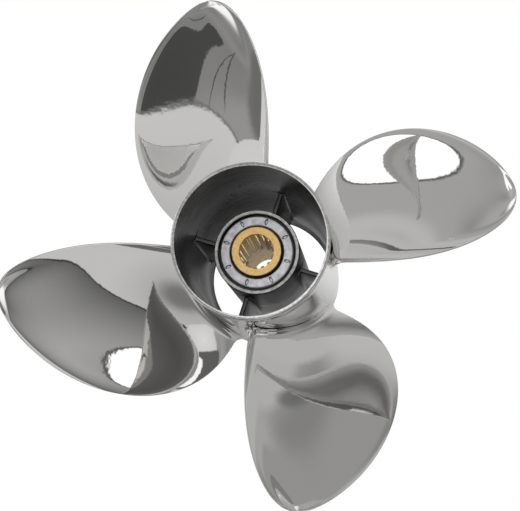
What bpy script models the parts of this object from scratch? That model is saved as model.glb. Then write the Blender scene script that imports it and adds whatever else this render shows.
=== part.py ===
"""Four-blade stainless propeller for an outboard motor, with exhaust through the hub.

The casting is a barrel, an inner hub on four ribs, and four left-hand blades.
A splined brass sleeve sits in the inner hub in a rubber bush with a grey end ring.
The propeller stands on the front face of its barrel, +Z is aft, and lengths are in metres.
"""

import math

import bmesh
import bpy
import numpy as np
from mathutils import Matrix

COLLECTION = "outboard_propeller"
BLADES = 4
GAP = 0.0003  # between pieces that touch, or that are one casting

# Barrel: a turned tube with a lip at the front and a slight flare at the rear.
BARREL_LENGTH = 0.164
BARREL_RADIUS = 0.0542
FLARE_RADIUS = 0.0555
FLARE_START = 0.138
FLARE_LAND = 0.1605
RIM_ROUND = 0.0013
RIM_INNER_RADIUS = 0.0528
PASSAGE_RADIUS = 0.0510
PASSAGE_START = 0.008
PASSAGE_END = 0.112
FRONT_OPENING_RADIUS = 0.0487
FRONT_LIP = 0.004
FRONT_CHAMFER = 0.0012
BARREL_STEPS = 64

# Inner hub: the tube that holds the bush, with a cone at the front for the thrust washer.
HUB_FRONT = 0.002
HUB_REAR = 0.121
HUB_RADIUS = 0.0310
HUB_BORE_RADIUS = 0.0281
HUB_CHAMFER = 0.0010
SHOULDER_RADIUS = 0.0200
SHOULDER_FRONT = 0.022
SHOULDER_REAR = 0.030
SEAT_RADIUS = 0.0260
HUB_STEPS = 48

# Ribs: straight plates between the inner hub and the barrel, halfway between the blades.
RIB_THICKNESS = 0.0034
RIB_FRONT = 0.012
RIB_REAR = 0.099
RIB_ANGLE = math.radians(45)
RIB_EDGE_ROUND = 0.0008

# Brass sleeve: 15 splines over its rear half, and a wider plain bore ahead of them. The splines
# end in a chamfer as wide as their roots, so the mouth is round.
SLEEVE_FRONT = 0.016
SLEEVE_REAR = 0.123
SLEEVE_RADIUS = 0.0183
SLEEVE_CHAMFER = 0.0006
SPLINE_TEETH = 15
SPLINE_TIP_RADIUS = 0.0116
SPLINE_ROOT_RADIUS = 0.01265
SPLINE_FRONT = 0.070
PLAIN_BORE_RADIUS = 0.0142
PLAIN_BORE_REAR = 0.0685
TOOTH_ROOT_SHARE = 0.56
TOOTH_TIP_SHARE = 0.36
MOUTH_CHAMFER = 0.0012

# Rubber bush and the grey ring on its rear face, with eight oval pockets.
BUSH_REAR = 0.1170
RING_INNER_RADIUS = 0.0197
RING_OUTER_RADIUS = 0.0262
RING_REAR = 0.1208
RING_CHAMFER = 0.0005
POCKETS = 8
POCKET_CIRCLE_RADIUS = 0.0231
POCKET_LENGTH = 0.0038
POCKET_WIDTH = 0.0018
POCKET_DEPTH = 0.0010

# Blades: a smooth curve runs through each column, by share of the span from root to tip.
TIP_RADIUS = 0.1858
SPAN_START_RADIUS = 0.0556
SPAN_SHARES = (0.0, 0.25, 0.5, 0.75, 1.0)
HALF_CHORD_DEG = (33.9, 34.0, 32.9, 30.3, 25.5)  # before the tip is rounded off
SKEW_DEG = (0.2, 0.25, -2.3, -7.5, -16.0)
RAKE_HEIGHT = (0.0640, 0.0762, 0.0939, 0.1173, 0.1467)  # middle of the chord above the front face
PITCH = (0.491, 0.479, 0.439, 0.368, 0.269)
THICKNESS = (0.0100, 0.0084, 0.0064, 0.0046, 0.0028)
TIP_ROUNDING = 0.559
EDGE_THICKNESS = 0.0016
FULL_SECTION_CHORD = 0.020  # half chord below which camber and thickness fade towards the tip
EDGE_STEPS = 2

# Camber in shares of the chord, positive where the aft face is hollow. Its even part, the part
# that leans to the leading edge, and the part that grows towards both edges.
CAMBER = (-0.007, -0.008, -0.020, -0.042, -0.075)
CAMBER_LEAN = (-0.006, -0.003, 0.0, 0.016, 0.060)
CAMBER_CURL = (-0.007, -0.022, -0.037, -0.052, -0.067)
CUP_WIDTH_SHARE = 0.14  # of the half chord, turned up along the trailing edge
CUP_HEIGHT = 0.0022
FILLET = 0.008
FILLET_STEPS = 4
ROOT_DEPTH = 0.004
SPAN_STEPS = 20
CHORD_STEPS = 11
LAST_SPAN_ANGLE = math.radians(87.5)

STAINLESS = ("stainless_steel", (0.80, 0.80, 0.79), 0.08, 1.0)
CAST_INSIDE = ("cast_steel", (0.16, 0.16, 0.16), 0.50, 0.8)
BRASS = ("brass", (0.72, 0.52, 0.25), 0.32, 1.0)
RUBBER = ("black_rubber", (0.02, 0.02, 0.02), 0.70, 0.0)
GREY_RING = ("grey_ring", (0.45, 0.46, 0.48), 0.45, 0.4)


def clear_scene():
    for old in list(bpy.data.objects):
        bpy.data.objects.remove(old, do_unlink=True)


def make_collection(name, hidden=False):
    collection = bpy.data.collections.new(name)
    bpy.context.scene.collection.children.link(collection)
    collection.hide_render = hidden
    return collection


def make_material(spec):
    name, colour, roughness, metallic = spec
    if name in bpy.data.materials:
        return bpy.data.materials[name]
    material = bpy.data.materials.new(name)
    material.use_nodes = True
    shader = material.node_tree.nodes["Principled BSDF"]
    shader.inputs["Base Color"].default_value = (*colour, 1.0)
    shader.inputs["Roughness"].default_value = roughness
    shader.inputs["Metallic"].default_value = metallic
    return material


def add_object(name, mesh, collection, material):
    thing = bpy.data.objects.new(name, mesh)
    collection.objects.link(thing)
    mesh.materials.append(make_material(material))
    return thing


def arc(centre_radius, centre_height, radius, start_deg, end_deg, steps):
    """Points (radius, height) along an arc, from one angle to the other."""
    points = []
    for i in range(steps + 1):
        angle = math.radians(start_deg + (end_deg - start_deg) * i / steps)
        points.append((centre_radius + radius * math.cos(angle), centre_height + radius * math.sin(angle)))
    return points


def turned(name, profile, steps, collection, material):
    """A closed profile at +X turned about the Z axis. It runs down its outer side."""
    mesh = bpy.data.meshes.new(name)
    points = [(radius, 0.0, height) for radius, height in profile]
    count = len(points)
    mesh.from_pydata(points, [(i, (i + 1) % count) for i in range(count)], [])
    thing = add_object(name, mesh, collection, material)
    screw = thing.modifiers.new("turn", "SCREW")
    screw.axis = "Z"
    screw.angle = math.tau
    screw.steps = steps
    screw.render_steps = steps
    screw.use_merge_vertices = True
    screw.merge_threshold = 0.00001
    screw.use_smooth_shade = True
    return thing


def cut(thing, cutter):
    cutter.hide_render = True
    cutter.display_type = "WIRE"
    boolean = thing.modifiers.new("cut", "BOOLEAN")
    boolean.operation = "DIFFERENCE"
    boolean.object = cutter


def build_barrel(collection):
    profile = arc(FLARE_RADIUS - RIM_ROUND, BARREL_LENGTH - RIM_ROUND, RIM_ROUND, 90, 0, 3)
    profile += [
        (FLARE_RADIUS, FLARE_LAND),
        ((FLARE_RADIUS + BARREL_RADIUS) / 2 - 0.0003, (FLARE_LAND + FLARE_START) / 2),
        (BARREL_RADIUS, FLARE_START),
        (BARREL_RADIUS, FRONT_CHAMFER),
        (BARREL_RADIUS - FRONT_CHAMFER, 0.0),
        (FRONT_OPENING_RADIUS, 0.0),
        (FRONT_OPENING_RADIUS, FRONT_LIP),
        (PASSAGE_RADIUS, PASSAGE_START),
        (PASSAGE_RADIUS, PASSAGE_END),
        (RIM_INNER_RADIUS, BARREL_LENGTH),
    ]
    return turned("barrel", profile, BARREL_STEPS, collection, STAINLESS)


def build_inner_hub(collection):
    profile = [
        (HUB_RADIUS - HUB_CHAMFER, HUB_REAR),
        (HUB_RADIUS, HUB_REAR - HUB_CHAMFER),
        (HUB_RADIUS, HUB_FRONT + HUB_CHAMFER),
        (HUB_RADIUS - HUB_CHAMFER, HUB_FRONT),
        (SEAT_RADIUS, HUB_FRONT),
        (SHOULDER_RADIUS, SHOULDER_FRONT),
        (SHOULDER_RADIUS, SHOULDER_REAR),
        (HUB_BORE_RADIUS, SHOULDER_REAR),
        (HUB_BORE_RADIUS, HUB_REAR),
    ]
    return turned("inner_hub", profile, HUB_STEPS, collection, CAST_INSIDE)


def build_rib(index, collection):
    """A plate with rounded long edges. Its ends stop a gap short of the two tubes."""
    inner = HUB_RADIUS + GAP
    facet_sag = PASSAGE_RADIUS * (1 - math.cos(math.pi / BARREL_STEPS))
    outer = PASSAGE_RADIUS - facet_sag - GAP
    mesh = bpy.data.meshes.new(f"rib_{index + 1}")
    shape = bmesh.new()
    bmesh.ops.create_cube(shape, size=1.0)
    bmesh.ops.scale(shape, vec=(outer - inner, RIB_THICKNESS, RIB_REAR - RIB_FRONT), verts=shape.verts)
    bmesh.ops.translate(shape, vec=((outer + inner) / 2, 0, (RIB_REAR + RIB_FRONT) / 2), verts=shape.verts)
    across = [edge for edge in shape.edges if abs(edge.verts[0].co.x - edge.verts[1].co.x) > GAP]
    bmesh.ops.bevel(
        shape, geom=across, offset=RIB_EDGE_ROUND, segments=2, profile=0.5, affect="EDGES", material=-1
    )
    shape.to_mesh(mesh)
    shape.free()
    rib = add_object(f"rib_{index + 1}", mesh, collection, CAST_INSIDE)
    rib.rotation_euler.z = RIB_ANGLE + index * math.tau / BLADES
    return rib


def spline_outline():
    """The bore's outline across the splines: four points a tooth, at its tip and its root."""
    points = []
    pitch = math.tau / SPLINE_TEETH
    for tooth in range(SPLINE_TEETH):
        middle = tooth * pitch
        for radius, side in (
            (SPLINE_ROOT_RADIUS, -TOOTH_ROOT_SHARE / 2),
            (SPLINE_TIP_RADIUS, -TOOTH_TIP_SHARE / 2),
            (SPLINE_TIP_RADIUS, TOOTH_TIP_SHARE / 2),
            (SPLINE_ROOT_RADIUS, TOOTH_ROOT_SHARE / 2),
        ):
            angle = middle + side * pitch
            points.append((radius * math.cos(angle), radius * math.sin(angle)))
    return points


def spline_cutter(collection):
    """A toothed broach: the outline drawn straight through the sleeve's rear half."""
    curve = bpy.data.curves.new("broach", "CURVE")
    curve.dimensions = "2D"
    curve.fill_mode = "BOTH"
    curve.extrude = (SLEEVE_REAR - SPLINE_FRONT + 0.004) / 2
    outline = spline_outline()
    spline = curve.splines.new("POLY")
    spline.points.add(len(outline) - 1)
    for point, (x, y) in zip(spline.points, outline):
        point.co = (x, y, 0, 1)
    spline.use_cyclic_u = True
    drawn = bpy.data.objects.new("broach_curve", curve)
    collection.objects.link(drawn)
    drawn.location.z = SPLINE_FRONT - 0.001 + curve.extrude
    return solid_from_curve(drawn, "broach", collection)


def solid_from_curve(drawn, name, collection):
    """The curve's closed mesh as a new object in the same place. The curve is removed."""
    bpy.context.view_layer.update()
    evaluated = drawn.evaluated_get(bpy.context.evaluated_depsgraph_get())
    mesh = bpy.data.meshes.new_from_object(evaluated)
    shape = bmesh.new()
    shape.from_mesh(mesh)
    bmesh.ops.remove_doubles(shape, verts=shape.verts, dist=0.00001)
    shape.to_mesh(mesh)
    shape.free()
    solid = bpy.data.objects.new(name, mesh)
    solid.matrix_world = drawn.matrix_world.copy()
    collection.objects.link(solid)
    bpy.data.objects.remove(drawn, do_unlink=True)
    return solid


def build_sleeve(collection, cutters):
    blank_radius = SPLINE_TIP_RADIUS - 0.0001
    profile = [
        (SLEEVE_RADIUS - SLEEVE_CHAMFER, SLEEVE_REAR),
        (SLEEVE_RADIUS, SLEEVE_REAR - SLEEVE_CHAMFER),
        (SLEEVE_RADIUS, SLEEVE_FRONT + SLEEVE_CHAMFER),
        (SLEEVE_RADIUS - SLEEVE_CHAMFER, SLEEVE_FRONT),
        (PLAIN_BORE_RADIUS, SLEEVE_FRONT),
        (PLAIN_BORE_RADIUS, PLAIN_BORE_REAR),
        (blank_radius, SPLINE_FRONT),
        (blank_radius, SLEEVE_REAR - MOUTH_CHAMFER),
        (SPLINE_TIP_RADIUS + MOUTH_CHAMFER, SLEEVE_REAR),
    ]
    sleeve = turned("drive_sleeve", profile, HUB_STEPS, collection, BRASS)
    cut(sleeve, spline_cutter(cutters))
    return sleeve


def build_bush(collection):
    profile = [
        (HUB_BORE_RADIUS - GAP, BUSH_REAR),
        (HUB_BORE_RADIUS - GAP, SHOULDER_REAR + GAP),
        (SLEEVE_RADIUS + GAP, SHOULDER_REAR + GAP),
        (SLEEVE_RADIUS + GAP, BUSH_REAR),
    ]
    return turned("cushion_bush", profile, HUB_STEPS, collection, RUBBER)


def pocket_cutters(collection):
    """Eight oval plugs round the ring, joined in one mesh: none touches another."""
    mesh = bpy.data.meshes.new("pockets")
    shape = bmesh.new()
    for index in range(POCKETS):
        angle = index * math.tau / POCKETS
        made = bmesh.ops.create_cone(
            shape, cap_ends=True, segments=10, radius1=0.5, radius2=0.5, depth=POCKET_DEPTH * 2
        )
        verts = made["verts"]
        bmesh.ops.scale(shape, vec=(POCKET_LENGTH, POCKET_WIDTH, 1), verts=verts)
        bmesh.ops.translate(shape, vec=(POCKET_CIRCLE_RADIUS, 0, RING_REAR), verts=verts)
        bmesh.ops.rotate(shape, cent=(0, 0, 0), matrix=Matrix.Rotation(angle, 3, "Z"), verts=verts)
    shape.to_mesh(mesh)
    shape.free()
    plugs = bpy.data.objects.new("pockets", mesh)
    collection.objects.link(plugs)
    return plugs


def build_end_ring(collection, cutters):
    bottom = BUSH_REAR + GAP
    profile = [
        (RING_OUTER_RADIUS - RING_CHAMFER, RING_REAR),
        (RING_OUTER_RADIUS, RING_REAR - RING_CHAMFER),
        (RING_OUTER_RADIUS, bottom),
        (RING_INNER_RADIUS, bottom),
        (RING_INNER_RADIUS, RING_REAR - RING_CHAMFER),
        (RING_INNER_RADIUS + RING_CHAMFER, RING_REAR),
    ]
    ring = turned("bush_end_ring", profile, HUB_STEPS, collection, GREY_RING)
    cut(ring, pocket_cutters(cutters))
    return ring


def through(values):
    """The polynomial through a column of the blade table, by share of the span."""
    return np.polynomial.Polynomial.fit(SPAN_SHARES, values, len(SPAN_SHARES) - 1)


HALF_CHORD = through(HALF_CHORD_DEG)
SKEW = through(SKEW_DEG)
RAKE = through(RAKE_HEIGHT)
PITCH_AT = through(PITCH)
THICKNESS_AT = through(THICKNESS)
CAMBER_AT = through(CAMBER)
LEAN_AT = through(CAMBER_LEAN)
CURL_AT = through(CAMBER_CURL)


def section_stations():
    """(place along the chord, side, turn of the outward direction) round one section.

    The place runs from -1 at the trailing edge to 1 at the leading edge, on the aft side
    first. Each edge is rounded by turning the outward direction there.
    """
    sides = [-math.cos(math.pi * i / CHORD_STEPS) for i in range(CHORD_STEPS + 1)]
    quarter = math.pi / 2
    turns = [quarter * i / EDGE_STEPS for i in range(1, EDGE_STEPS + 1)]
    stations = [(along, -1, 0.0) for along in sides]
    stations += [(1, -1, turn) for turn in turns]
    stations += [(1, 1, turn) for turn in turns[-2::-1]]
    stations += [(along, 1, 0.0) for along in sides[::-1]]
    stations += [(-1, 1, -turn) for turn in turns]
    stations += [(-1, -1, -turn) for turn in turns[-2::-1]]
    return stations


SECTION_STATIONS = section_stations()


def fillet_growth(height):
    """How far the root fillet stands out from the blade, by height above the barrel."""
    below = min(max(FILLET - height, 0.0), FILLET)
    return FILLET - math.sqrt(FILLET**2 - below**2)


def mean_line(along, share, half_chord):
    """How far the section's middle lies forward of the straight line between its edges."""
    camber = CAMBER_AT(share) + LEAN_AT(share) * along + CURL_AT(share) * along**2
    in_cup = max(0.0, 1 - (1 + along) / CUP_WIDTH_SHARE)
    cup = CUP_HEIGHT * (1 - in_cup**2) * (1 - along) / 2
    return 2 * half_chord * camber * (1 - along**2) + cup


def section(radius):
    """Points round the blade's section at a radius: the aft face to the leading edge, then back."""
    share = max((radius - SPAN_START_RADIUS) / (TIP_RADIUS - SPAN_START_RADIUS), 0.0)
    half = math.radians(HALF_CHORD(share)) * (1 - share**2) ** TIP_ROUNDING
    middle = math.radians(SKEW(share))
    rise = PITCH_AT(share) / math.tau
    slope = math.atan2(rise, radius)
    half_chord = half * radius / math.cos(slope)
    fade = min(1.0, half_chord / FULL_SECTION_CHORD)
    edge = min(EDGE_THICKNESS / 2, half_chord / 2)
    grown = edge + fillet_growth(radius - BARREL_RADIUS)
    swell = (THICKNESS_AT(share) / 2 - edge) * fade
    points = []
    for along, side, direction in SECTION_STATIONS:
        chordwise = along * (half_chord - edge) + grown * math.sin(direction)
        offset = mean_line(along, share, half_chord) * fade
        offset += swell * (1 + side) * (1 - along**2) + grown * math.cos(direction) * side
        angle = middle + (chordwise * math.cos(slope) - offset * math.sin(slope)) / radius
        height = RAKE(share) - chordwise * math.sin(slope) - offset * math.cos(slope)
        points.append((radius * math.cos(angle), radius * math.sin(angle), height))
    return points


def blade_radii():
    """Section radii: inside the barrel, up the root fillet, then closer together at the tip."""
    radii = [BARREL_RADIUS - ROOT_DEPTH]
    for i in range(FILLET_STEPS):
        radii.append(BARREL_RADIUS + FILLET * (1 - math.cos(math.pi / 2 * i / FILLET_STEPS)))
    span = TIP_RADIUS - SPAN_START_RADIUS
    first = math.asin((BARREL_RADIUS + FILLET - SPAN_START_RADIUS) / span)
    for i in range(SPAN_STEPS + 1):
        angle = first + (LAST_SPAN_ANGLE - first) * i / SPAN_STEPS
        radii.append(SPAN_START_RADIUS + span * math.sin(angle))
    return radii


def blade_mesh():
    """A loft through the sections, closed at the root and at the tip."""
    shape = bmesh.new()
    loops = [[shape.verts.new(point) for point in section(radius)] for radius in blade_radii()]
    for low, high in zip(loops, loops[1:]):
        count = len(low)
        for i in range(count):
            j = (i + 1) % count
            shape.faces.new((low[i], low[j], high[j], high[i]))
    shape.faces.new(loops[0][::-1])
    shape.faces.new(loops[-1])
    bmesh.ops.recalc_face_normals(shape, faces=shape.faces)
    mesh = bpy.data.meshes.new("blade")
    shape.to_mesh(mesh)
    shape.free()
    mesh.shade_smooth()
    return mesh


def root_cutter(collection):
    """A plug the size of the barrel's outside, and a gap larger, that trims the blade roots."""
    mesh = bpy.data.meshes.new("root_trim")
    shape = bmesh.new()
    bmesh.ops.create_cone(
        shape,
        cap_ends=True,
        segments=BARREL_STEPS,
        radius1=BARREL_RADIUS + GAP,
        radius2=BARREL_RADIUS + GAP,
        depth=BARREL_LENGTH,
    )
    bmesh.ops.translate(shape, vec=(0, 0, BARREL_LENGTH / 2), verts=shape.verts)
    shape.to_mesh(mesh)
    shape.free()
    plug = bpy.data.objects.new("root_trim", mesh)
    collection.objects.link(plug)
    return plug


def build_blades(collection, cutters):
    """Four blades from one mesh. Each turns with its own copy of the shape."""
    mesh = blade_mesh()
    trim = root_cutter(cutters)
    for index in range(BLADES):
        blade = add_object(f"blade_{index + 1}", mesh.copy(), collection, STAINLESS)
        blade.rotation_euler.z = index * math.tau / BLADES
        cut(blade, trim)


def build():
    clear_scene()
    parts = make_collection(COLLECTION)
    cutters = make_collection("cutters", hidden=True)
    build_barrel(parts)
    build_inner_hub(parts)
    for index in range(BLADES):
        build_rib(index, parts)
    build_blades(parts, cutters)
    build_sleeve(parts, cutters)
    build_bush(parts)
    build_end_ring(parts, cutters)


build()
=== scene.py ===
"""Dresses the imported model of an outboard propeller, seen from astern on a white table."""

import math

import bmesh
import bpy
import numpy as np
from mathutils import Matrix, Vector


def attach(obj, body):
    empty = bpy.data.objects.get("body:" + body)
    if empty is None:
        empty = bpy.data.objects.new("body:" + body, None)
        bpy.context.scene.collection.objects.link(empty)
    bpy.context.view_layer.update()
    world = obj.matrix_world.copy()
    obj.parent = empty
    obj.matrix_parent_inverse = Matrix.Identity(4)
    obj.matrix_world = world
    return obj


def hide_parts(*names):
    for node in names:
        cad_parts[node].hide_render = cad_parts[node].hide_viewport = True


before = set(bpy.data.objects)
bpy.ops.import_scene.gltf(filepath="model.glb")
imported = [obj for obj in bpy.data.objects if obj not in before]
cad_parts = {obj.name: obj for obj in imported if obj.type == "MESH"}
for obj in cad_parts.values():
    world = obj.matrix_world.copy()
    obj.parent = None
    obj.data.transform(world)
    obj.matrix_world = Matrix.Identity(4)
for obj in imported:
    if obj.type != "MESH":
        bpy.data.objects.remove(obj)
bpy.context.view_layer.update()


# Camera
# The photograph looks down on the rear end, 12.5 degrees off the shaft axis, from almost a metre.
# The place, turn and lens come from a fit to the outlines of the barrel, hub, ribs and blades.
CAMERA_PLACE = (0.00655, -0.18804, 0.95016)
CAMERA_TURN_DEG = (10.982, 6.1105, -27.003)
LENS_MM = 81.63
SENSOR_MM = 36

camera = bpy.data.objects.new("camera", bpy.data.cameras.new("camera"))
bpy.context.scene.collection.objects.link(camera)
camera.location = CAMERA_PLACE
camera.rotation_euler = [math.radians(angle) for angle in CAMERA_TURN_DEG]
camera.data.sensor_width = SENSOR_MM
camera.data.lens = LENS_MM
bpy.context.scene.camera = camera


# Blades
# Four blades of the stainless casting, ground and mirror polished, on a left-hand helix. Each
# has a rounded leading edge, a cupped trailing edge and a fillet where it grows out of the barrel.
BLADES = 4
BARREL_RADIUS = 0.0542
TIP_RADIUS = 0.1858
SPAN_START_RADIUS = 0.0556
SPAN_SHARES = (0.0, 0.25, 0.5, 0.75, 1.0)
HALF_CHORD_DEG = (33.9, 34.0, 32.9, 30.3, 25.5)  # before the tip is rounded off
SKEW_DEG = (0.2, 0.25, -2.3, -7.5, -16.0)
RAKE_HEIGHT = (0.0640, 0.0762, 0.0939, 0.1173, 0.1467)
PITCH = (0.491, 0.479, 0.439, 0.368, 0.269)
THICKNESS = (0.0100, 0.0084, 0.0064, 0.0046, 0.0028)
CAMBER = (-0.007, -0.008, -0.020, -0.042, -0.075)  # shares of the chord
CAMBER_LEAN = (-0.006, -0.003, 0.0, 0.016, 0.060)
CAMBER_CURL = (-0.007, -0.022, -0.037, -0.052, -0.067)
TIP_ROUNDING = 0.559
EDGE_THICKNESS = 0.0016
FULL_SECTION_CHORD = 0.020
CUP_WIDTH_SHARE = 0.14
CUP_HEIGHT = 0.0022
FILLET = 0.008
FILLET_STEPS = 12
SPAN_STEPS = 96
CHORD_STEPS = 72
EDGE_STEPS = 5
BLADE_WELD = 0.000005


def linear(code):
    """An sRGB hex colour as linear red, green, blue and alpha."""
    channels = [int(code[i : i + 2], 16) / 255 for i in (0, 2, 4)]
    return (*[c / 12.92 if c <= 0.04045 else ((c + 0.055) / 1.055) ** 2.4 for c in channels], 1.0)


def add_node(tree, kind, settings, inputs):
    """Adds a node with its settings. Each input is a value or another node's output."""
    node = tree.nodes.new("ShaderNode" + kind)
    for name, value in settings.items():
        setattr(node, name, value)
    for name, value in inputs.items():
        if isinstance(value, bpy.types.NodeSocket):
            tree.links.new(value, node.inputs[name])
        else:
            node.inputs[name].default_value = value
    return node


def new_material(name):
    """An empty material with its output node and the object's own coordinates."""
    material = bpy.data.materials.new(name)
    material.use_nodes = True
    tree = material.node_tree
    tree.nodes.clear()
    output = tree.nodes.new("ShaderNodeOutputMaterial")
    place = tree.nodes.new("ShaderNodeTexCoord").outputs["Object"]
    return material, tree, output, place


def per_mm(size):
    """The scale of a noise whose features lie this many millimetres apart."""
    return 1000.0 / size


def finish_piece(name, shape, materials, slot, *replaced, sharp_deg=40):
    """Makes the mesh a piece of the casting or sleeve that rides on the propeller."""
    bmesh.ops.recalc_face_normals(shape, faces=shape.faces)
    mesh = bpy.data.meshes.new(name)
    shape.to_mesh(mesh)
    shape.free()
    mesh.shade_smooth()
    mesh.set_sharp_from_angle(angle=math.radians(sharp_deg))
    for material in materials:
        mesh.materials.append(material)
    piece = bpy.data.objects.new(name, mesh)
    bpy.context.scene.collection.objects.link(piece)
    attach(piece, "root")
    if replaced:
        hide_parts(*replaced)
    return piece


def through(values):
    """The polynomial through a column of the blade table, by share of the span."""
    return np.polynomial.Polynomial.fit(SPAN_SHARES, values, len(SPAN_SHARES) - 1)


half_chord_at = through(HALF_CHORD_DEG)
skew_at = through(SKEW_DEG)
rake_at = through(RAKE_HEIGHT)
pitch_at = through(PITCH)
thickness_at = through(THICKNESS)
camber_at = through(CAMBER)
lean_at = through(CAMBER_LEAN)
curl_at = through(CAMBER_CURL)


def section_stations():
    """(place along the chord, side, turn of the outward direction) round one section."""
    sides = [-math.cos(math.pi * i / CHORD_STEPS) for i in range(CHORD_STEPS + 1)]
    turns = [math.pi / 2 * i / EDGE_STEPS for i in range(1, EDGE_STEPS + 1)]
    stations = [(along, -1, 0.0) for along in sides]
    stations += [(1, -1, turn) for turn in turns]
    stations += [(1, 1, turn) for turn in turns[-2::-1]]
    stations += [(along, 1, 0.0) for along in sides[::-1]]
    stations += [(-1, 1, -turn) for turn in turns]
    stations += [(-1, -1, -turn) for turn in turns[-2::-1]]
    return stations + stations[:1]


def blade_radii():
    """Radii of the sections: up the root fillet, then closer together towards the tip."""
    radii = []
    for i in range(FILLET_STEPS):
        radii.append(BARREL_RADIUS + FILLET * (1 - math.cos(math.pi / 2 * i / FILLET_STEPS)))
    span = TIP_RADIUS - SPAN_START_RADIUS
    first = math.asin((BARREL_RADIUS + FILLET - SPAN_START_RADIUS) / span)
    for i in range(SPAN_STEPS + 1):
        angle = first + (math.pi / 2 - first) * i / SPAN_STEPS
        radii.append(SPAN_START_RADIUS + span * math.sin(angle))
    return radii


def mean_line(along, share, half_chord):
    """How far the section's middle lies forward of the straight line between its edges."""
    camber = camber_at(share) + lean_at(share) * along + curl_at(share) * along**2
    in_cup = max(0.0, 1 - (1 + along) / CUP_WIDTH_SHARE)
    cup = CUP_HEIGHT * (1 - in_cup**2) * (1 - along) / 2
    return 2 * half_chord * camber * (1 - along**2) + cup


def on_blade(radius, station):
    """The place of one point of the blade's skin."""
    along, side, turn = station
    share = min(max((radius - SPAN_START_RADIUS) / (TIP_RADIUS - SPAN_START_RADIUS), 0.0), 1.0)
    half = math.radians(half_chord_at(share)) * (1 - share**2) ** TIP_ROUNDING
    rise = pitch_at(share) / math.tau
    slope = math.atan2(rise, radius)
    half_chord = half * radius / math.cos(slope)
    fade = min(1.0, half_chord / FULL_SECTION_CHORD)
    to_tip = min((TIP_RADIUS - radius) / (EDGE_THICKNESS / 2), 1.0)
    edge = min(EDGE_THICKNESS / 2, half_chord / 2) * math.sqrt(1 - (1 - to_tip) ** 2)
    below = min(max(FILLET - (radius - BARREL_RADIUS), 0.0), FILLET)
    grown = edge + FILLET - math.sqrt(FILLET**2 - below**2)
    swell = (thickness_at(share) / 2 - edge) * fade
    chordwise = along * (half_chord - edge) + grown * math.sin(turn)
    offset = mean_line(along, share, half_chord) * fade
    offset += swell * (1 + side) * (1 - along**2) + grown * math.cos(turn) * side
    sideways = chordwise * math.cos(slope) - offset * math.sin(slope)
    angle = math.radians(skew_at(share)) + sideways / radius
    height = rake_at(share) - chordwise * math.sin(slope) - offset * math.cos(slope)
    return Vector((radius * math.cos(angle), radius * math.sin(angle), height))


def mirror_polish():
    """Stainless steel, ground and buffed by hand to a mirror. It shows the room rather than a
    colour of its own, and the buffing's ripple, 4.5 mm from wave to wave, frays what it mirrors.
    """
    material, tree, output, place = new_material("mirror_polished_stainless")
    ripple = add_node(tree, "TexNoise", {}, {"Vector": place, "Scale": per_mm(4.5), "Detail": 1.0})
    bump = add_node(
        tree, "Bump", {}, {"Height": ripple.outputs["Fac"], "Strength": 0.035, "Distance": 0.0004}
    )
    shader = add_node(
        tree,
        "BsdfPrincipled",
        {},
        {
            "Base Color": linear("DBDAD8"),
            "Metallic": 1.0,
            "Roughness": 0.03,
            "Normal": bump.outputs["Normal"],
        },
    )
    tree.links.new(shader.outputs["BSDF"], output.inputs["Surface"])
    return material


polished_steel = mirror_polish()
stations = section_stations()
radii = blade_radii()
sheet = bmesh.new()
bmesh.ops.create_grid(sheet, x_segments=len(stations) - 1, y_segments=len(radii) - 1, size=1)
for vert in sheet.verts:
    column = round((vert.co.x + 1) / 2 * (len(stations) - 1))
    row = round((vert.co.y + 1) / 2 * (len(radii) - 1))
    vert.co = on_blade(radii[row], stations[column])
bmesh.ops.remove_doubles(sheet, verts=sheet.verts, dist=BLADE_WELD)
for index in range(BLADES):
    blade_shape = sheet.copy()
    turn = Matrix.Rotation(index * math.tau / BLADES, 3, "Z")
    bmesh.ops.rotate(blade_shape, cent=(0, 0, 0), matrix=turn, verts=blade_shape.verts)
    finish_piece(
        f"polished_blade_{index + 1}",
        blade_shape,
        [polished_steel],
        "stainless_steel",
        f"blade_{index + 1}",
    )
sheet.free()


# Barrel
# The outer tube of the casting. Its outside is polished with the blades, its rear rim is
# faced bright in a lathe, and its inside is left dark as cast.
BARREL_PROFILE = [  # radius, height, from the rear rim down the outside and up the inside
    (0.0540, 0.1640),
    (0.0548, 0.1636),
    (0.0555, 0.1622),
    (0.0555, 0.1600),
    (0.0551, 0.1550),
    (0.0546, 0.1480),
    (0.0542, 0.1380),
    (0.0542, 0.0012),
    (0.0530, 0.0),
    (0.0487, 0.0),
    (0.0487, 0.0040),
    (0.0510, 0.0080),
    (0.0510, 0.1120),
    (0.0528, 0.1640),
]
RIM_FACED_FROM = 0.1638
AS_CAST_WITHIN = 0.0533
TURNED_STEPS = 240
TURNED_WELD = 0.000002
FLAT = 0.0002  # what is nearer than this to a plane or circle lies in it


def round_shaft(tree, place):
    """Radius, angle and height of a point about the shaft axis."""
    parts = add_node(tree, "SeparateXYZ", {}, {0: place})
    flat = add_node(tree, "CombineXYZ", {}, {"X": parts.outputs["X"], "Y": parts.outputs["Y"]})
    radius = add_node(tree, "VectorMath", {"operation": "LENGTH"}, {0: flat.outputs[0]})
    angle = add_node(
        tree, "Math", {"operation": "ARCTAN2"}, {0: parts.outputs["Y"], 1: parts.outputs["X"]}
    )
    return radius.outputs["Value"], angle.outputs[0], parts.outputs["Z"]


def scaled(tree, value, factor):
    """The value times a factor."""
    return add_node(tree, "Math", {"operation": "MULTIPLY"}, {0: value, 1: factor}).outputs[0]


def spread(tree, value, low, high):
    """A noise's usual range, 0.3 to 0.7, as a number from low to high."""
    return add_node(
        tree,
        "MapRange",
        {},
        {"Value": value, "From Min": 0.3, "From Max": 0.7, "To Min": low, "To Max": high},
    ).outputs[0]


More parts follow.
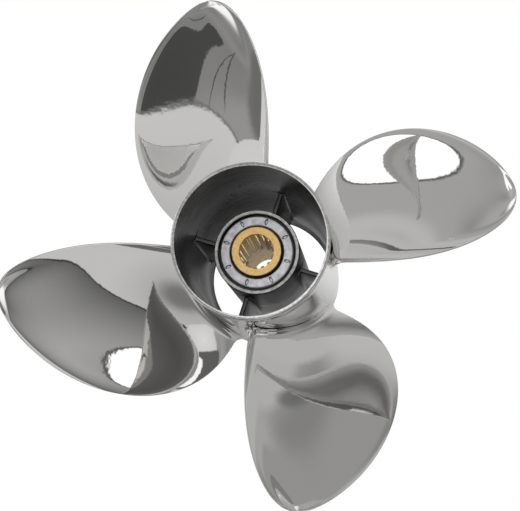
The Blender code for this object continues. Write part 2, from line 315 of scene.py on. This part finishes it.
def two_tones(tree, value, dark, light):
    """A colour between two, by a noise."""
    return add_node(
        tree, "Mix", {"data_type": "RGBA"}, {0: value, 6: linear(dark), 7: linear(light)}
    ).outputs[2]


def cast_inside(name, dark, light):
    """Stainless steel as cast in sand and scoured by hand: dark, half matt and grainy. The scour
    marks lie 1.9 mm apart and run some 40 mm round the shaft, and clouds in its tone lie 22 mm
    apart. The sand's grain of 0.3 mm is too fine to show, so it is drawn as coarse as 1.1 mm.
    """
    material, tree, output, place = new_material(name)
    radius, angle, height = round_shaft(tree, place)
    round_marks = add_node(
        tree,
        "CombineXYZ",
        {},
        {"X": scaled(tree, angle, 1.2), "Y": scaled(tree, height, per_mm(1.9)), "Z": radius},
    )
    scours = add_node(
        tree, "TexNoise", {}, {"Vector": round_marks.outputs[0], "Scale": 1.0, "Detail": 3.0}
    )
    patches = add_node(tree, "TexNoise", {}, {"Vector": place, "Scale": per_mm(22), "Detail": 2.0})
    grain = add_node(tree, "TexNoise", {}, {"Vector": place, "Scale": per_mm(1.1), "Detail": 3.0})
    relief = add_node(
        tree, "Math", {"operation": "ADD"}, {0: grain.outputs["Fac"], 1: scours.outputs["Fac"]}
    )
    bump = add_node(
        tree, "Bump", {}, {"Height": relief.outputs[0], "Strength": 0.35, "Distance": 0.0003}
    )
    tone = add_node(
        tree,
        "Math",
        {"operation": "MULTIPLY"},
        {0: scours.outputs["Fac"], 1: patches.outputs["Fac"]},
    )
    tone = add_node(
        tree, "MapRange", {}, {"Value": tone.outputs[0], "From Min": 0.12, "From Max": 0.40}
    )
    shader = add_node(
        tree,
        "BsdfPrincipled",
        {},
        {
            "Base Color": two_tones(tree, tone.outputs[0], dark, light),
            "Metallic": 1.0,
            "Roughness": spread(tree, patches.outputs["Fac"], 0.26, 0.38),
            "Normal": bump.outputs["Normal"],
        },
    )
    tree.links.new(shader.outputs["BSDF"], output.inputs["Surface"])
    return material


def turned_metal(name, dark, light, roughness, metallic=1.0):
    """Metal faced or bored in a lathe. The tool's rings, 0.2 mm apart, blur what it mirrors, and
    handling leaves faint stains 2.6 mm apart.
    """
    material, tree, output, place = new_material(name)
    radius, angle, height = round_shaft(tree, place)
    rings = add_node(
        tree,
        "TexNoise",
        {"noise_dimensions": "1D"},
        {"W": scaled(tree, radius, per_mm(0.2)), "Scale": 1.0},
    )
    stains = add_node(tree, "TexNoise", {}, {"Vector": place, "Scale": per_mm(2.6), "Detail": 1.0})
    bump = add_node(
        tree, "Bump", {}, {"Height": rings.outputs["Fac"], "Strength": 0.25, "Distance": 0.00005}
    )
    tone = spread(tree, stains.outputs["Fac"], 0.0, 1.0)
    shader = add_node(
        tree,
        "BsdfPrincipled",
        {},
        {
            "Base Color": two_tones(tree, tone, dark, light),
            "Metallic": metallic,
            "Roughness": spread(tree, stains.outputs["Fac"], roughness - 0.05, roughness + 0.05),
            "Normal": bump.outputs["Normal"],
        },
    )
    tree.links.new(shader.outputs["BSDF"], output.inputs["Surface"])
    return material


def turned(profile):
    """A closed profile of (radius, height) spun about the shaft axis."""
    shape = bmesh.new()
    ring = [shape.verts.new((radius, 0, height)) for radius, height in profile]
    edges = [shape.edges.new((a, b)) for a, b in zip(ring, ring[1:] + ring[:1])]
    bmesh.ops.spin(
        shape,
        geom=ring + edges,
        cent=(0, 0, 0),
        axis=(0, 0, 1),
        angle=math.tau,
        steps=TURNED_STEPS,
        use_merge=True,
        use_duplicate=False,
    )
    bmesh.ops.remove_doubles(shape, verts=shape.verts, dist=TURNED_WELD)
    return shape


# Dark grey inside, against a rim that the lathe leaves as bright as new.
as_cast_steel = cast_inside("as_cast_stainless", "606060", "A2A2A2")
rim_steel = turned_metal("bright_turned_stainless", "B6B5B4", "DEDDDC", 0.22)
barrel = turned(BARREL_PROFILE)
for face in barrel.faces:
    middle = face.calc_center_median()
    reach = math.hypot(middle.x, middle.y)
    if middle.z > RIM_FACED_FROM:
        face.material_index = 2
    elif reach < AS_CAST_WITHIN and middle.z > FLAT:
        face.material_index = 1
barrel_steel = [polished_steel, as_cast_steel, rim_steel]
finish_piece("cast_barrel", barrel, barrel_steel, "stainless_steel", "barrel")


# Inner hub
# The casting's inner tube, as cast, with painted shade that makes it darker than the barrel's
# inside. Its rear end is faced bright in a lathe.
HUB_PROFILE = [
    (0.0305, 0.1210),
    (0.0310, 0.1205),
    (0.0310, 0.0030),
    (0.0300, 0.0020),
    (0.0260, 0.0020),
    (0.0200, 0.0220),
    (0.0200, 0.0300),
    (0.0281, 0.0300),
    (0.0281, 0.1205),
    (0.0286, 0.1210),
]
HUB_FACED_FROM = 0.1206

# Duller than the rim, because the lathe's marks are left in it, on a hub dark with painted shade.
machined_steel = turned_metal("machined_stainless", "8C8B8A", "B8B7B6", 0.24)
painted_shade_cast_steel = cast_inside("cast_stainless_painted_shade", "3C3C3C", "6E6E6E")
hub = turned(HUB_PROFILE)
for face in hub.faces:
    if face.calc_center_median().z > HUB_FACED_FROM:
        face.material_index = 1
finish_piece("cast_inner_hub", hub, [painted_shade_cast_steel, machined_steel], "cast_steel", "inner_hub")


# Ribs
# Plates of the casting that carry the inner hub in the barrel, as cast and dark with painted
# shade, with fillets at both ends.
RIB_THICKNESS = 0.0034
RIB_REAR = 0.099
RIB_FRONT = 0.012
RIB_INNER = 0.0310
RIB_OUTER = 0.0510
RIB_FILLET = 0.0025
RIB_FILLET_STEPS = 6
RIB_SINK = 0.0002  # how far a rib's ends reach into the tubes
RIB_ROUNDING = 0.0008
RIB_TURN_DEG = 45  # halfway between the blades


def rib_outline():
    """(radius, half width) along one side of a rib: a fillet, a straight wall and a fillet."""
    points = []
    for i in range(RIB_FILLET_STEPS + 1):
        angle = math.pi / 2 * i / RIB_FILLET_STEPS
        points.append((RIB_FILLET * (1 - math.cos(angle)), RIB_FILLET * (1 - math.sin(angle))))
    half = RIB_THICKNESS / 2
    inner = [(RIB_INNER - RIB_SINK + out, half + flare) for out, flare in points]
    outer = [(RIB_OUTER + RIB_SINK - out, half + flare) for out, flare in points[::-1]]
    return inner + outer


for index in range(BLADES):
    rib = bmesh.new()
    side = rib_outline()
    outline = side + [(x, -y) for x, y in side[::-1]]
    floor_face = rib.faces.new([rib.verts.new((x, y, RIB_FRONT)) for x, y in outline])
    grown = bmesh.ops.extrude_face_region(rib, geom=[floor_face])
    top = [item for item in grown["geom"] if isinstance(item, bmesh.types.BMVert)]
    bmesh.ops.translate(rib, vec=(0, 0, RIB_REAR - RIB_FRONT), verts=top)
    bmesh.ops.recalc_face_normals(rib, faces=rib.faces)
    rims = [edge for edge in rib.edges if abs(edge.verts[0].co.z - edge.verts[1].co.z) < FLAT]
    bmesh.ops.bevel(
        rib, geom=rims, offset=RIB_ROUNDING, segments=3, profile=0.5, affect="EDGES", material=-1
    )
    turn = Matrix.Rotation(math.radians(RIB_TURN_DEG) + index * math.tau / BLADES, 3, "Z")
    bmesh.ops.rotate(rib, cent=(0, 0, 0), matrix=turn, verts=rib.verts)
    finish_piece(f"cast_rib_{index + 1}", rib, [painted_shade_cast_steel], "cast_steel", f"rib_{index + 1}")


# Brass sleeve
# Turned from brass bar and broached with 15 splines that slide on the propeller shaft. The
# splines end at the rear in a chamfer as wide as their roots, and at the front in a wider bore.
SPLINE_TEETH = 15
SPLINE_TIP = 0.0116
SPLINE_ROOT = 0.01265
SPLINE_FRONT = 0.0700
SPLINE_REAR = 0.1210
MOUTH = 0.1229  # below this is the bore, above it the rear face
TOOTH_TIP_SHARE = 0.38
TOOTH_FLANK_SHARE = 0.18
TOOTH_STEPS = 20


def spline_radius(angle):
    """The bore's radius across a tooth: flat at the tip and the root, with sloped flanks."""
    phase = abs((angle / math.tau * SPLINE_TEETH + 0.5) % 1 - 0.5) * 2
    rise = min(max((phase - TOOTH_TIP_SHARE) / TOOTH_FLANK_SHARE, 0.0), 1.0)
    rise = rise * rise * (3 - 2 * rise)
    return SPLINE_TIP + (SPLINE_ROOT - SPLINE_TIP) * rise


SLEEVE_LOOPS = [  # height, radius; no radius means the splined bore
    (0.1224, 0.0183),
    (0.1230, 0.0177),
    (0.1230, 0.0128),
    (0.1219, 0.0),
    (SPLINE_FRONT, 0.0),
    (0.0685, 0.0142),
    (0.0160, 0.0142),
    (0.0160, 0.0177),
    (0.0166, 0.0183),
]
BORE_REACH = 0.0143
sleeve = bmesh.new()
bmesh.ops.create_circle(sleeve, cap_ends=False, segments=SPLINE_TEETH * TOOTH_STEPS, radius=1.0)
ring_verts, ring_edges = sleeve.verts[:], sleeve.edges[:]
for height, radius in SLEEVE_LOOPS + SLEEVE_LOOPS[:1]:
    for vert in ring_verts:
        angle = math.atan2(vert.co.y, vert.co.x)
        reach = radius or spline_radius(angle)
        vert.co = (reach * math.cos(angle), reach * math.sin(angle), height)
    grown = bmesh.ops.extrude_edge_only(sleeve, edges=ring_edges)["geom"]
    ring_verts = [item for item in grown if isinstance(item, bmesh.types.BMVert)]
    ring_edges = [item for item in grown if isinstance(item, bmesh.types.BMEdge)]
bmesh.ops.delete(sleeve, geom=ring_verts, context="VERTS")
bmesh.ops.remove_doubles(sleeve, verts=sleeve.verts, dist=TURNED_WELD)
# The bore takes its painted shade here, and the flanks of the splines take a painted glint.
for face in sleeve.faces:
    middle = face.calc_center_median()
    reach = math.hypot(middle.x, middle.y)
    if reach < BORE_REACH and middle.z < MOUTH:
        on_teeth = SPLINE_FRONT < middle.z < SPLINE_REAR
        on_flank = on_teeth and SPLINE_TIP + FLAT < reach < SPLINE_ROOT - FLAT
        face.material_index = 3 if on_flank else 2 if middle.z > SPLINE_FRONT else 1

# The faced end is bright yellow. The bore lies in shade, so its brass is painted brown and grey,
# darkest on the splines: painted shade. The splines' flanks are painted pale: a painted glint.
turned_brass = turned_metal("turned_brass", "D4AD6D", "E9C88D", 0.30)
bored_brass = turned_metal("bored_brass", "AC8A44", "E6C67C", 0.36, metallic=0.6)
broached_brass = turned_metal("broached_brass", "6E5830", "A88C52", 0.34, metallic=0.6)
painted_glint_brass = turned_metal("spline_flanks_painted_glint", "E8D4A0", "FAECC8", 0.30, metallic=0.0)
sleeve_brass = [turned_brass, bored_brass, broached_brass, painted_glint_brass]
finish_piece("splined_sleeve", sleeve, sleeve_brass, "brass", "drive_sleeve")


# Rubber bush and its end ring
# The black rubber bush cushions the drive. The grey ring bonded on its end has eight oval
# pockets in its face, with painted shade along their edges.
POCKETS = 8
POCKET_CIRCLE = 0.0231
POCKET_HALF_LENGTH = 0.0019
POCKET_HALF_WIDTH = 0.0009
POCKET_SHADE_SHARE = 0.55  # how far the painted shade reaches from a pocket's edge, in half widths


def moulded_rubber():
    """Natural rubber, moulded: black and matt, so it is a dark line between ring and hub. Its
    dust lies in specks 2 mm apart.
    """
    material, tree, output, place = new_material("black_rubber")
    dust = add_node(tree, "TexNoise", {}, {"Vector": place, "Scale": per_mm(2), "Detail": 4.0})
    bump = add_node(
        tree, "Bump", {}, {"Height": dust.outputs["Fac"], "Strength": 0.2, "Distance": 0.0002}
    )
    shader = add_node(
        tree,
        "BsdfPrincipled",
        {},
        {
            "Base Color": two_tones(tree, dust.outputs["Fac"], "0E0E0E", "242424"),
            "Roughness": 0.65,
            "Normal": bump.outputs["Normal"],
        },
    )
    tree.links.new(shader.outputs["BSDF"], output.inputs["Surface"])
    return material


def pocket_edges(tree, radius, angle):
    """1 along the outline of each oval pocket, 0 away from it."""
    span = math.tau / POCKETS
    aside = add_node(tree, "Math", {"operation": "PINGPONG"}, {0: angle, 1: span / 2})
    across = add_node(tree, "Math", {"operation": "MULTIPLY"}, {0: aside.outputs[0], 1: radius})
    along = add_node(tree, "Math", {"operation": "SUBTRACT"}, {0: radius, 1: POCKET_CIRCLE})
    oval = add_node(
        tree,
        "CombineXYZ",
        {},
        {
            "X": scaled(tree, along.outputs[0], 1 / POCKET_HALF_LENGTH),
            "Y": scaled(tree, across.outputs[0], 1 / POCKET_HALF_WIDTH),
        },
    )
    out = add_node(tree, "VectorMath", {"operation": "LENGTH"}, {0: oval.outputs[0]})
    off = add_node(tree, "Math", {"operation": "SUBTRACT"}, {0: out.outputs["Value"], 1: 1.0})
    off = add_node(tree, "Math", {"operation": "ABSOLUTE"}, {0: off.outputs[0]})
    return add_node(
        tree,
        "MapRange",
        {"interpolation_type": "SMOOTHSTEP"},
        {"Value": off.outputs[0], "From Max": POCKET_SHADE_SHARE, "To Min": 1.0, "To Max": 0.0},
    ).outputs[0]


def grey_ring():
    """Grey ring bonded on the rubber: a satin, metallic grey with blotches 3.8 mm apart, turning
    rings 0.45 mm apart, and black painted shade round its pockets.
    """
    material, tree, output, place = new_material("grey_ring")
    radius, angle, height = round_shaft(tree, place)
    blotches = add_node(
        tree, "TexNoise", {}, {"Vector": place, "Scale": per_mm(3.8), "Detail": 3.0}
    )
    unshaded = two_tones(tree, spread(tree, blotches.outputs["Fac"], 0.0, 1.0), "9B9B9D", "BFBFC2")
    # Painted shade: black along the outline of each pocket.
    edge_shaded = add_node(
        tree,
        "Mix",
        {"data_type": "RGBA"},
        {0: pocket_edges(tree, radius, angle), 6: unshaded, 7: linear("161618")},
    )
    rings = add_node(
        tree,
        "TexNoise",
        {"noise_dimensions": "1D"},
        {"W": scaled(tree, radius, per_mm(0.45)), "Scale": 1.0},
    )
    bump = add_node(
        tree, "Bump", {}, {"Height": rings.outputs["Fac"], "Strength": 0.2, "Distance": 0.0001}
    )
    shader = add_node(
        tree,
        "BsdfPrincipled",
        {},
        {
            "Base Color": edge_shaded.outputs[2],
            "Metallic": 0.8,
            "Roughness": 0.38,
            "Normal": bump.outputs["Normal"],
        },
    )
    tree.links.new(shader.outputs["BSDF"], output.inputs["Surface"])
    return material


for node_name, material in (("cushion_bush", moulded_rubber()), ("bush_end_ring", grey_ring())):
    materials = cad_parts[node_name].data.materials
    materials.clear()
    materials.append(material)


# Table and light
# The propeller stands on a strip of white board in a studio with soft lamps, cards and grey
# walls, and its polish mirrors them all. To the camera the board and the room are plain white.
BOARD_LONG = (-0.45, 0.90)
BOARD_WIDE = (-0.13, 0.23)
BOARD_TURN_DEG = -34.0
BOARD_HEIGHT = -0.0002  # just clear of the barrel's foot
BOARD_SHADE = "BABABA"
LAMPS = [  # place, what it points at, size, power, seen in reflections
    ((-0.60, 0.45, 0.70), (0, 0, 0), 0.8, 12.6, False),
    ((0.0, 0.0, 0.0004), (0, 0, 1), 0.09, 0.011, True),
]
BEAMS = [  # place, what it points at, power, width in degrees: down the barrel, and beside it
    ((0.16, -0.38, 0.95), (0, 0, 0.11), 60.0, 8.0),
    ((0.37, -0.43, 0.33), (0.06, -0.028, 0), 34.0, 10.0),
]
BEAM_SOURCE = 0.04
BEAM_BLEND = 0.8
ROOM_SHADE = 0.395
# Name, shade in the middle and at the rim, azimuth and elevation, half width and half height,
# roll, roundness, softness of the rim. Angles are in degrees, with azimuth 0 at the front and 90
# at the right. Each card covers those before it.
STUDIO = [
    ("ceiling", 1.45, 1.20, 0, 90, 400, 25, 0, 2, 0.25),
    ("rear wall", 0.49, 0.51, 205, 10, 43, 70, 0, 4, 0.10),
    ("rear wall, lit", 0.58, 0.72, 184, 5, 8, 45, 0, 2, 0.8),
    ("rear wall, shaded", 0.36, 0.45, 214, 38, 10, 20, -20, 2, 0.8),
    ("rear gap", 0.27, 0.27, 166, 44, 7, 8, 0, 3, 0.2),
    ("high lamp", 1.40, 1.40, 190, 40, 10, 4.8, -33, 2, 0.04),
    ("thin flag", 0.15, 0.15, 178, 8, 1.2, 34, 0, 4, 0.2),
    ("rear lamp's rim", 0.12, 0.12, 225, 9, 12.9, 12.4, 0, 2, 0.04),
    ("rear lamp", 1.50, 1.50, 225, 9, 12.0, 11.5, 0, 2, 0.03),
    ("left wall", 0.27, 0.31, 288, 46, 28, 20, 0, 4, 0.3),
    ("left gap", 0.17, 0.22, 255, 34, 11, 40, -28, 2, 0.2),
    ("grey card, left", 0.27, 0.36, 300, 58, 40, 9, 0, 2, 0.5),
    ("black card, left", 0.075, 0.085, 318, 35.4, 21.5, 9.1, -4, 6, 0.02),
    ("first rod", 0.10, 0.10, 285, 36, 0.35, 14.5, -34, 4, 0.3),
    ("second rod", 0.10, 0.10, 290, 37, 0.3, 11.4, -15, 4, 0.3),
    ("large card's rim", 0.22, 0.22, 320, -1.3, 60.8, 32.7, 0, 1.9, 0.01),
    ("large card", 0.61, 0.77, 320, -1.3, 60, 32, 0, 1.9, 0.01),
    ("large card's end", 0.84, 0.80, 250, -6, 20, 15.5, 0, 4, 0.03),
    ("front card", 0.72, 0.72, 2, 18, 34, 44, 0, 6, 0.03),
    ("front card, shaded", 0.52, 0.58, 14, 3, 24, 20, 0, 2, 0.6),
    ("right opening's rim", 0.06, 0.06, 65, 33, 42.8, 29.6, 0, 2.4, 0.01),
    ("right opening", 0.52, 0.16, 65, 33, 41.8, 27.8, 0, 2.4, 0.01),
    ("front lamp's rim", 0.10, 0.10, 64, 22.5, 9.8, 5.2, 0, 2, 0.06),
    ("front lamp", 1.5, 1.5, 64, 22.5, 9, 4.5, 0, 2, 0.04),
    ("front wall", 0.23, 0.26, 12, 4, 10, 9, 0, 2, 0.5),
    ("front wall, lit", 0.95, 0.80, 45.5, 5, 12.5, 6.5, 5, 4, 0.05),
    ("front gap", 0.15, 0.15, 58, 4, 4.5, 8, 0, 4, 0.15),
    ("front lamp, low", 1.3, 1.3, 60, 9.5, 4, 3, 0, 2, 0.1),
    ("right wall", 0.575, 0.575, 92, 1, 21, 45, 0, 4, 0.18),
    ("right wall's top", 0.49, 0.49, 119, 50, 14, 23, 0, 4, 0.35),
    ("right corner", 0.30, 0.31, 127, 14, 10, 14, 0, 2, 0.6),
    ("right gap", 0.19, 0.24, 118.5, 10.5, 8.5, 3.8, -27, 2.5, 0.4),
    ("floor in front", 0.13, 0.2, -25, -34, 52, 33, 0, 4, 0.06),
    ("floor at the right", 0.60, 0.60, 100, -30, 45, 29, 0, 4, 0.06),
    ("floor behind", 0.68, 0.62, 152, -18, 24, 22, 0, 4, 0.30),
]


def rounded(tree, place, roundness):
    """Distance from a card's middle: 1 on its rim, which is an ellipse or nearer a rectangle."""
    if roundness == 2:
        return add_node(tree, "VectorMath", {"operation": "LENGTH"}, {0: place}).outputs["Value"]
    sides = add_node(tree, "VectorMath", {"operation": "ABSOLUTE"}, {0: place})
    parts = add_node(tree, "SeparateXYZ", {}, {0: sides.outputs[0]})
    wide = add_node(tree, "Math", {"operation": "POWER"}, {0: parts.outputs["X"], 1: roundness})
    high = add_node(tree, "Math", {"operation": "POWER"}, {0: parts.outputs["Y"], 1: roundness})
    both = add_node(tree, "Math", {"operation": "ADD"}, {0: wide.outputs[0], 1: high.outputs[0]})
    return add_node(
        tree, "Math", {"operation": "POWER"}, {0: both.outputs[0], 1: 1 / roundness}
    ).outputs[0]


def hang_card(tree, azimuth, elevation, behind, card):
    """Lays one lamp, wall or gap of the studio over what is behind it."""
    name, inside, at_rim, turn, rise, half_width, half_height, roll, roundness, softness = card
    around = add_node(
        tree, "Math", {"operation": "WRAP"}, {0: azimuth, 1: turn + 180.0, 2: turn - 180.0}
    )
    direction = add_node(tree, "CombineXYZ", {}, {"X": around.outputs[0], "Y": elevation})
    place = add_node(
        tree,
        "Mapping",
        {"vector_type": "TEXTURE"},
        {
            "Vector": direction.outputs[0],
            "Location": (turn, rise, 0),
            "Rotation": (0, 0, math.radians(roll)),
            "Scale": (half_width, half_height, 1),
        },
    )
    out = rounded(tree, place.outputs[0], roundness)
    shade = add_node(tree, "MapRange", {}, {"Value": out, "To Min": inside, "To Max": at_rim})
    cover = add_node(
        tree,
        "MapRange",
        {"interpolation_type": "SMOOTHSTEP"},
        {
            "Value": out,
            "From Min": 1 - softness,
            "From Max": 1 + softness,
            "To Min": 1.0,
            "To Max": 0.0,
        },
    )
    laid = add_node(
        tree, "Mix", {"label": name}, {0: cover.outputs[0], 2: behind, 3: shade.outputs[0]}
    )
    return laid.outputs[0]


def white_to_camera(tree, seen_otherwise, output):
    """Plain white where the camera looks straight at it."""
    path = tree.nodes.new("ShaderNodeLightPath")
    white = add_node(tree, "Emission", {}, {"Color": (1, 1, 1, 1), "Strength": 1.0})
    choice = add_node(
        tree,
        "MixShader",
        {},
        {0: path.outputs["Is Camera Ray"], 1: seen_otherwise, 2: white.outputs[0]},
    )
    tree.links.new(choice.outputs[0], output.inputs["Surface"])


board_shape = bmesh.new()
bmesh.ops.create_grid(board_shape, x_segments=1, y_segments=1, size=1)
for vert in board_shape.verts:
    vert.co = (BOARD_LONG[vert.co.x > 0], BOARD_WIDE[vert.co.y > 0], BOARD_HEIGHT)
turn = Matrix.Rotation(math.radians(BOARD_TURN_DEG), 3, "Z")
bmesh.ops.rotate(board_shape, cent=(0, 0, 0), matrix=turn, verts=board_shape.verts)
board_mesh = bpy.data.meshes.new("board")
board_shape.to_mesh(board_mesh)
board_shape.free()
board = bpy.data.objects.new("board", board_mesh)
bpy.context.scene.collection.objects.link(board)
board_white, tree, output, place = new_material("white_board")
matt = add_node(tree, "BsdfDiffuse", {}, {"Color": linear(BOARD_SHADE)})
white_to_camera(tree, matt.outputs[0], output)
board_mesh.materials.append(board_white)


def add_lamp(kind, place, aim, power):
    """A lamp at a place, pointed at another, that the camera doesn't see."""
    lamp = bpy.data.objects.new("lamp", bpy.data.lights.new("lamp", kind))
    lamp.data.energy = power
    lamp.location = place
    lamp.rotation_euler = (Vector(place) - Vector(aim)).to_track_quat("Z", "Y").to_euler()
    lamp.visible_camera = False
    bpy.context.scene.collection.objects.link(lamp)
    return lamp


for lamp_place, aim, size, power, mirrored in LAMPS:
    lamp = add_lamp("AREA", lamp_place, aim, power)
    lamp.data.shape = "DISK"
    lamp.data.size = size
    lamp.visible_glossy = mirrored
for lamp_place, aim, power, width_deg in BEAMS:
    beam = add_lamp("SPOT", lamp_place, aim, power)
    beam.data.spot_size = math.radians(width_deg)
    beam.data.spot_blend = BEAM_BLEND
    beam.data.shadow_soft_size = BEAM_SOURCE
    beam.visible_glossy = False

world = bpy.data.worlds.new("studio")
bpy.context.scene.world = world
world.use_nodes = True
tree = world.node_tree
tree.nodes.clear()
output = tree.nodes.new("ShaderNodeOutputWorld")
direction = tree.nodes.new("ShaderNodeTexCoord").outputs["Generated"]
parts = add_node(tree, "SeparateXYZ", {}, {0: direction})
front = add_node(tree, "Math", {"operation": "MULTIPLY"}, {0: parts.outputs["Y"], 1: -1.0})
around = add_node(
    tree, "Math", {"operation": "ARCTAN2"}, {0: parts.outputs["X"], 1: front.outputs[0]}
)
azimuth = add_node(tree, "Math", {"operation": "DEGREES"}, {0: around.outputs[0]}).outputs[0]
rise = add_node(tree, "Math", {"operation": "ARCSINE"}, {0: parts.outputs["Z"]})
elevation = add_node(tree, "Math", {"operation": "DEGREES"}, {0: rise.outputs[0]}).outputs[0]
shade = ROOM_SHADE
for card in STUDIO:
    shade = hang_card(tree, azimuth, elevation, shade, card)
room = add_node(tree, "Background", {}, {"Color": shade})
white_to_camera(tree, room.outputs[0], output)
bpy.context.scene.view_settings.view_transform = "Standard"
